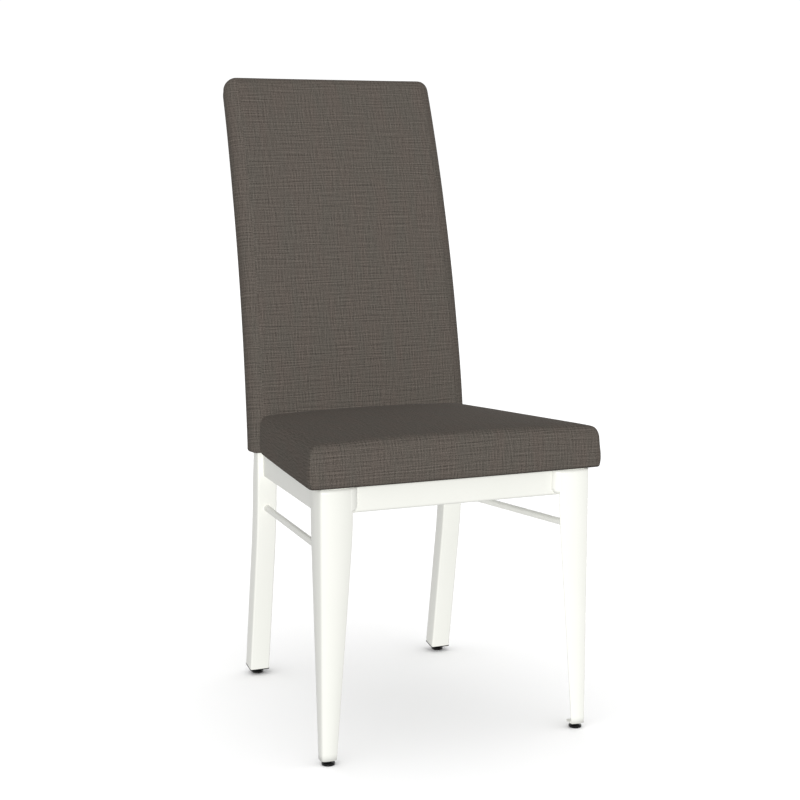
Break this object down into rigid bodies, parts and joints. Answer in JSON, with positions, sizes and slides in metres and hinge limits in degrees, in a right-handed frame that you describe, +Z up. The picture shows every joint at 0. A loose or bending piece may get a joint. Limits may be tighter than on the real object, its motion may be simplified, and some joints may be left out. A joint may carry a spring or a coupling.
{
  "type": "upholstered dining chair with a metal frame",
  "caption": "High-backed dining chair: upholstered sloping seat and curved padded back on a white painted frame with tapered wrapped-sheet front legs and tilting glides",
  "frame": {"origin": "on the floor, under the middle of the chair's outline", "axes": "+Z up, the chair faces -Y, the sitter's left is +X"},
  "size_m": [0.4812, 0.6096, 1.0361],
  "materials": {
    "frame_paint": "warm white powder coat, satin gloss",
    "upholstery": "grey-brown woven fabric with slubs",
    "foam": "moulded foam, hidden",
    "plywood": "bare plywood, hidden",
    "dust_cloth": "black non-woven cloth",
    "black_plastic": "black moulded plastic",
    "zinc_steel": "zinc plated steel",
    "black_steel": "blackened steel"
  },
  "bodies": {
    "chair": {"front_leg_right": "frame_paint", "front_leg_left": "frame_paint", "toe_plates": "frame_paint", "toe_nuts": "frame_paint", "front_rail": "frame_paint", "rear_rail": "frame_paint", "side_rail_right": "frame_paint", "side_rail_left": "frame_paint", "side_rod_right": "frame_paint", "side_rod_left": "frame_paint", "corner_plate_front_right": "frame_paint", "corner_plate_front_left": "frame_paint", "corner_plate_rear_right": "frame_paint", "corner_plate_rear_left": "frame_paint", "rear_leg_right": "frame_paint", "rear_leg_left": "frame_paint", "back_upright_right": "frame_paint", "back_upright_left": "frame_paint", "back_bar_low": "frame_paint", "back_bar_middle": "frame_paint", "back_bar_top": "frame_paint", "rear_insert_right": "black_plastic", "rear_insert_left": "black_plastic", "back_board": "plywood", "back_board_screws": "zinc_steel", "back_foam": "foam", "back_cover": "upholstery", "seat_board": "plywood", "tee_nuts": "zinc_steel", "seat_screws": "black_steel", "seat_foam": "foam", "seat_cover": "upholstery", "dust_cover": "dust_cloth", "glide_stem_front_right": "zinc_steel", "glide_stem_front_left": "zinc_steel", "glide_stem_rear_right": "zinc_steel", "glide_stem_rear_left": "zinc_steel"},
    "front_right_glide": {"glide_front_right": "black_plastic"},
    "front_left_glide": {"glide_front_left": "black_plastic"},
    "rear_right_glide": {"glide_rear_right": "black_plastic"},
    "rear_left_glide": {"glide_rear_left": "black_plastic"}
  },
  "joints": [
    {"name": "front_right_glide_tilt", "type": "hinge", "parent": "chair", "child": "front_right_glide", "pos_m": [-0.2101, -0.28248, 0.0045], "axis": [1, 0, 0], "range_deg": [-10, 10]},
    {"name": "front_left_glide_tilt", "type": "hinge", "parent": "chair", "child": "front_left_glide", "pos_m": [0.2101, -0.28248, 0.0045], "axis": [1, 0, 0], "range_deg": [-10, 10]},
    {"name": "rear_right_glide_tilt", "type": "hinge", "parent": "chair", "child": "rear_right_glide", "pos_m": [-0.1741, 0.17795, 0.0045], "axis": [1, 0, 0], "range_deg": [-10, 10]},
    {"name": "rear_left_glide_tilt", "type": "hinge", "parent": "chair", "child": "rear_left_glide", "pos_m": [0.1741, 0.17795, 0.0045], "axis": [1, 0, 0], "range_deg": [-10, 10]}
  ]
}
